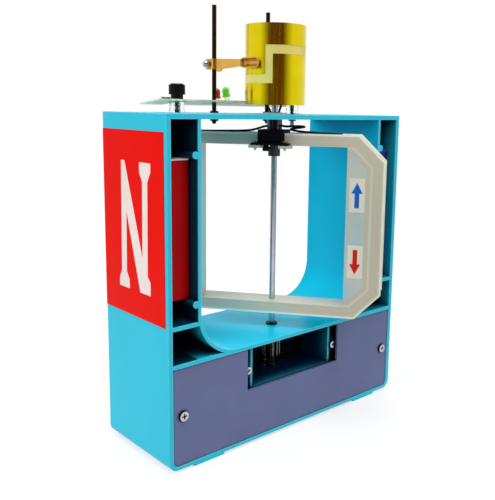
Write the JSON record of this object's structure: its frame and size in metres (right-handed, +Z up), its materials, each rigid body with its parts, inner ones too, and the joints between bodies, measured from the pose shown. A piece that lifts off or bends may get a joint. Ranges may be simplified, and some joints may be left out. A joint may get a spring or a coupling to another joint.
{
  "type": "ac-dc generator demonstrator",
  "caption": "Classroom hand-cranked generator: a bobbin coil turns between block magnets, with a combined slip-ring and split-ring commutator, sliding brushes, lamps and binding posts on top.",
  "frame": {"origin": "on the floor, under the middle of the body, at the centre of its flat sole", "axes": "+X to the right seen from the front, +Y to the back, +Z up"},
  "size_m": [0.2006, 0.1446, 0.28],
  "materials": {
    "body_blue": "moulded, semi-gloss",
    "panel_slate": "satin",
    "label_red": "printed film",
    "label_blue": "printed film",
    "magnet_red": "painted",
    "magnet_blue": "painted",
    "steel": "bright zinc",
    "shaft_steel": "ground",
    "dark_steel": "dark, oiled",
    "chrome": "polished",
    "bush_brass": "turned",
    "ring_brass": "polished",
    "brush_brass": "rolled strip",
    "clear_plastic": "clear",
    "board_plate": "thin pale sheet",
    "lamp_red": "tinted epoxy",
    "lamp_green": "tinted epoxy",
    "resistor": "lacquered",
    "bobbin": "milky",
    "winding_tape": "taped winding",
    "cream_plastic": "moulded",
    "lead_rubber": "insulated wire",
    "sticker": "glued label",
    "black_plastic": "moulded",
    "gear_black": "moulded",
    "crank_black": "moulded",
    "knob_black": "fluted"
  },
  "bodies": {
    "frame": {"main_frame": "body_blue", "gear_bracket": "body_blue", "front_panel": "panel_slate", "panel_screws": "steel", "bracket_screws": "steel", "pole_label_n": "label_red", "pole_label_s": "label_blue", "magnet_n": "magnet_red", "magnet_s": "magnet_blue", "top_bush": "dark_steel", "floor_bush": "black_plastic", "pivot_bush": "bush_brass", "crank_bush": "bush_brass", "brush_rod_left": "dark_steel", "brush_rod_right": "dark_steel", "rod_nuts": "dark_steel", "post_insulators": "clear_plastic", "post_studs": "steel", "post_nuts": "steel", "led_board": "board_plate", "led_red": "lamp_red", "led_green": "lamp_green", "board_resistor": "resistor"},
    "rotor": {"rotor_shaft": "shaft_steel", "rotor_sleeve": "chrome", "hub_saddle": "black_plastic", "saddle_screws": "steel", "shaft_collar": "dark_steel", "collar_screw": "black_plastic", "coil_core": "bobbin", "coil_flange_front": "bobbin", "coil_flange_rear": "bobbin", "coil_winding": "winding_tape", "lead_wire_left": "lead_rubber", "lead_wire_right": "lead_rubber", "arrow_label_up": "sticker", "arrow_label_down": "sticker", "commutator_core": "cream_plastic", "commutator_upper": "ring_brass", "commutator_lower": "ring_brass", "drive_pinion": "gear_black"},
    "crank": {"crown_wheel": "gear_black", "crank_shaft": "steel", "crank_arm": "crank_black", "crank_screw": "steel", "crank_pin": "steel"},
    "crank_handle": {"crank_knob": "crank_black"},
    "left_brush": {"brush_arm_left": "brush_brass", "clamp_screw_left": "chrome", "clamp_nut_left": "chrome"},
    "right_brush": {"brush_arm_right": "brush_brass", "clamp_screw_right": "chrome", "clamp_nut_right": "chrome"},
    "left_insert": {"post_insert_left": "bush_brass"},
    "left_knob": {"post_knob_left": "knob_black"},
    "right_insert": {"post_insert_right": "bush_brass"},
    "right_knob": {"post_knob_right": "knob_black"}
  },
  "joints": [
    {"name": "rotor_spin", "type": "hinge", "parent": "frame", "child": "rotor", "pos_m": [0, -0.01, 0.0665], "axis": [0, 0, 1], "continuous": true},
    {"name": "crank_spin", "type": "hinge", "parent": "frame", "child": "crank", "pos_m": [0, 0.035, 0.0355], "axis": [0, 1, 0], "continuous": true},
    {"name": "crank_knob_spin", "type": "hinge", "parent": "crank", "child": "crank_handle", "pos_m": [0, 0.0456, 0.0125], "axis": [0, 1, 0], "continuous": true},
    {"name": "left_brush_slide", "type": "slide", "parent": "frame", "child": "left_brush", "axis": [0, 0, 1], "range_m": [-0.018, 0.018]},
    {"name": "left_post_turn", "type": "hinge", "parent": "frame", "child": "left_insert", "pos_m": [-0.051, 0.028, 0.218], "axis": [0, 0, 1], "range_deg": [0, 1440]},
    {"name": "left_post_lift", "type": "slide", "parent": "left_insert", "child": "left_knob", "axis": [0, 0, 1], "range_m": [0, 0.0032]},
    {"name": "right_brush_slide", "type": "slide", "parent": "frame", "child": "right_brush", "axis": [0, 0, 1], "range_m": [-0.018, 0.018]},
    {"name": "right_post_turn", "type": "hinge", "parent": "frame", "child": "right_insert", "pos_m": [0.051, 0.028, 0.218], "axis": [0, 0, 1], "range_deg": [0, 1440]},
    {"name": "right_post_lift", "type": "slide", "parent": "right_insert", "child": "right_knob", "axis": [0, 0, 1], "range_m": [0, 0.0032]}
  ],
  "couplings": [
    {"joint": "crank_spin", "follows": "rotor_spin", "ratio": -0.33333},
    {"joint": "left_post_turn", "follows": "left_post_lift", "rad_per_m": 7854},
    {"joint": "right_post_turn", "follows": "right_post_lift", "rad_per_m": 7854}
  ]
}
